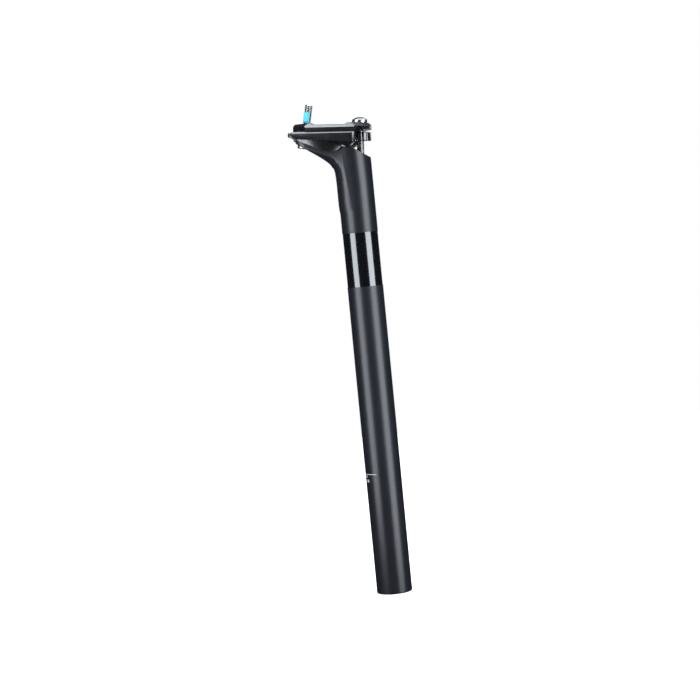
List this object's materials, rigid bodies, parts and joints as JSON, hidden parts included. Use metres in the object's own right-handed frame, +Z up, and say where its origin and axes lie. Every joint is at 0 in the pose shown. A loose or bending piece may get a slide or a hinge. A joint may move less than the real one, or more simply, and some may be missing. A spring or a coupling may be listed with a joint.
{
  "type": "bicycle seatpost",
  "caption": "Rigid setback bicycle seatpost: a round tube with a forged head and a two-bolt micro-adjust clamp for saddle rails.",
  "frame": {"origin": "centre of the tube's open lower end", "axes": "+Z up the tube, +X to the front of the bicycle, +Y to its left side"},
  "size_m": [0.0617, 0.0574, 0.3746],
  "materials": {
    "anodised_post": "matt black anodised",
    "anodised_clamp": "satin black anodised",
    "anodised_wheel": "bright black anodised",
    "steel": "bright stainless",
    "nylon_patch": "blue nylon"
  },
  "bodies": {
    "post": {"seatpost_body": "anodised_post"},
    "cradle": {"lower_cradle": "anodised_clamp"},
    "plate": {"upper_clamp": "anodised_clamp"},
    "rear_nut": {"rear_clamp_nut": "steel"},
    "rear_washer": {"rear_swivel_washer": "steel"},
    "rear_screw": {"rear_bolt": "steel", "rear_bolt_threadlock_patch": "nylon_patch"},
    "front_washer": {"front_swivel_washer": "steel"},
    "front_adjuster": {"front_bolt": "steel", "front_thumbwheel": "anodised_wheel", "thumbwheel_pin": "steel"}
  },
  "joints": [
    {"name": "saddle_tilt", "type": "hinge", "parent": "post", "child": "cradle", "pos_m": [-0.0132, 0, 0.3532], "axis": [0, 1, 0], "range_deg": [0, 16]},
    {"name": "clamp_opening", "type": "slide", "parent": "cradle", "child": "plate", "axis": [0.0767, 0, 0.9971], "range_m": [0, 0.002]},
    {"name": "rear_nut_swivel", "type": "hinge", "parent": "plate", "child": "rear_nut", "pos_m": [-0.03231, 0, 0.35958], "axis": [0, 1, 0], "range_deg": [-12.83, 0]},
    {"name": "rear_bolt_swing", "type": "hinge", "parent": "post", "child": "rear_washer", "pos_m": [-0.03609, 0, 0.34209], "axis": [0, 1, 0], "range_deg": [0, 3.19]},
    {"name": "rear_bolt_turn", "type": "hinge", "parent": "rear_washer", "child": "rear_screw", "pos_m": [-0.03609, 0, 0.34209], "axis": [0.2113, 0, 0.9774], "continuous": true},
    {"name": "front_washer_swivel", "type": "hinge", "parent": "plate", "child": "front_washer", "pos_m": [0.00757, 0, 0.35652], "axis": [0, 1, 0], "range_deg": [-15.05, 0]},
    {"name": "adjuster_turn", "type": "hinge", "parent": "front_washer", "child": "front_adjuster", "pos_m": [0.00757, 0, 0.35652], "axis": [-0.0593, 0, -0.9982], "range_deg": [0, 2100]}
  ],
  "couplings": [
    {"joint": "saddle_tilt", "follows": "adjuster_turn", "ratio": 0.007619},
    {"joint": "rear_bolt_swing", "follows": "adjuster_turn", "ratio": 0.0015124},
    {"joint": "rear_nut_swivel", "follows": "adjuster_turn", "ratio": -0.0061067},
    {"joint": "front_washer_swivel", "follows": "adjuster_turn", "ratio": -0.0071627}
  ]
}
